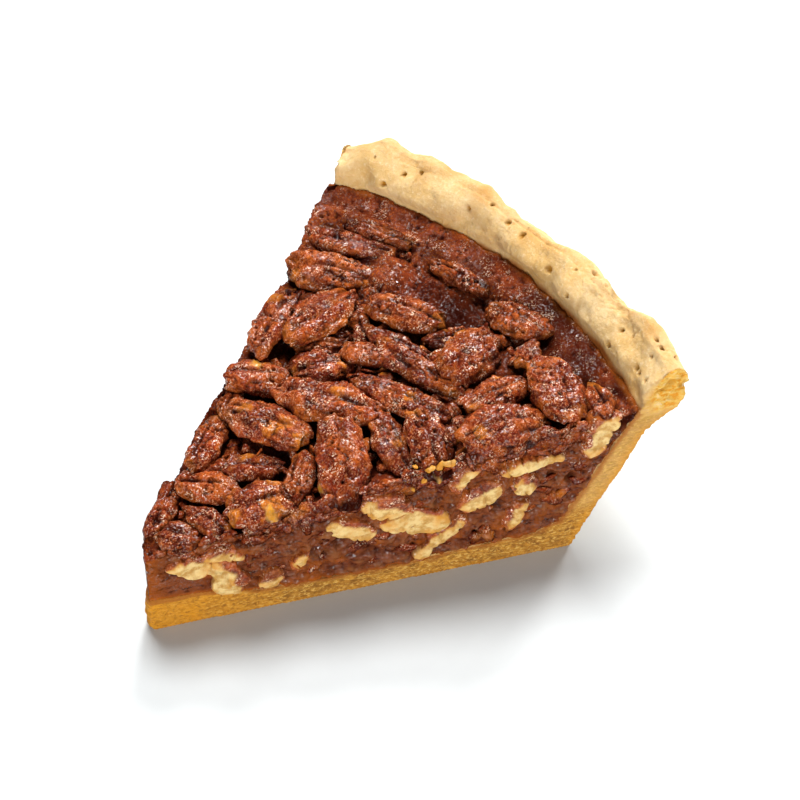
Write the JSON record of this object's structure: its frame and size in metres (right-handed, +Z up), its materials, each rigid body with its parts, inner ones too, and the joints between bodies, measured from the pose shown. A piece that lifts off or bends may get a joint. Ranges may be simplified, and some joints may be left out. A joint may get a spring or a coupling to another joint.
{
  "type": "slice of pecan pie",
  "caption": "Wedge slice of deep pecan pie: pale crimped pastry shell, set brown syrup filling, glazed pecan halves on top and cut pecans in its sides.",
  "frame": {"origin": "middle of the slice's box on the flat underside that it rests on", "axes": "+X from the slice's tip towards the pastry rim, the pie's radius through the slice's middle; +Z up; the front cut faces -Y and the back cut faces +Y"},
  "size_m": [0.115, 0.1056, 0.0537],
  "materials": {
    "baked_pastry": "matte baked pastry, pale golden on the rim and deeper tan-gold on the cut base and wall",
    "syrup_filling": "glossy, slightly see-through mahogany-brown set syrup, foamy and pitted on top",
    "glazed_pecan": "glossy red-brown sugar glaze with a fine granular foam",
    "cut_pecan": "satin ivory nut meat with a thin brown skin"
  },
  "bodies": {
    "root": {"pastry_shell": "baked_pastry", "syrup_filling": "syrup_filling", "pecan_top_01": "glazed_pecan", "pecan_top_02": "glazed_pecan", "pecan_top_03": "glazed_pecan", "pecan_top_04": "glazed_pecan", "pecan_top_05": "glazed_pecan", "pecan_top_06": "glazed_pecan", "pecan_top_07": "glazed_pecan", "pecan_top_08": "glazed_pecan", "pecan_top_09": "glazed_pecan", "pecan_top_10": "glazed_pecan", "pecan_top_11": "glazed_pecan", "pecan_top_12": "glazed_pecan", "pecan_top_13": "glazed_pecan", "pecan_top_14": "glazed_pecan", "pecan_top_15": "glazed_pecan", "pecan_top_16": "glazed_pecan", "pecan_top_17": "glazed_pecan", "pecan_top_18": "glazed_pecan", "pecan_top_19": "glazed_pecan", "pecan_top_20": "glazed_pecan", "pecan_top_21": "glazed_pecan", "pecan_top_22": "glazed_pecan", "pecan_top_23": "glazed_pecan", "pecan_top_24": "glazed_pecan", "pecan_top_25": "glazed_pecan", "pecan_top_26": "glazed_pecan", "pecan_top_27": "glazed_pecan", "pecan_top_28": "glazed_pecan", "pecan_top_29": "glazed_pecan", "pecan_top_30": "glazed_pecan", "pecan_top_31": "glazed_pecan", "pecan_top_32": "glazed_pecan", "pecan_top_33": "glazed_pecan", "pecan_top_34": "glazed_pecan", "pecan_top_35": "glazed_pecan", "pecan_top_36": "glazed_pecan", "pecan_top_37": "glazed_pecan", "pecan_top_38": "glazed_pecan", "pecan_front_01": "cut_pecan", "pecan_front_02": "cut_pecan", "pecan_front_03": "cut_pecan", "pecan_front_04": "cut_pecan", "pecan_front_05": "cut_pecan", "pecan_front_06": "cut_pecan", "pecan_front_07": "cut_pecan", "pecan_front_08": "cut_pecan", "pecan_front_09": "cut_pecan", "pecan_front_10": "cut_pecan", "pecan_front_11": "cut_pecan", "pecan_front_12": "cut_pecan", "pecan_front_13": "cut_pecan", "pecan_front_14": "cut_pecan", "pecan_front_15": "cut_pecan", "pecan_back_01": "cut_pecan", "pecan_back_02": "cut_pecan", "pecan_back_03": "cut_pecan", "pecan_back_04": "cut_pecan", "pecan_back_05": "cut_pecan"}
  },
  "joints": []
}
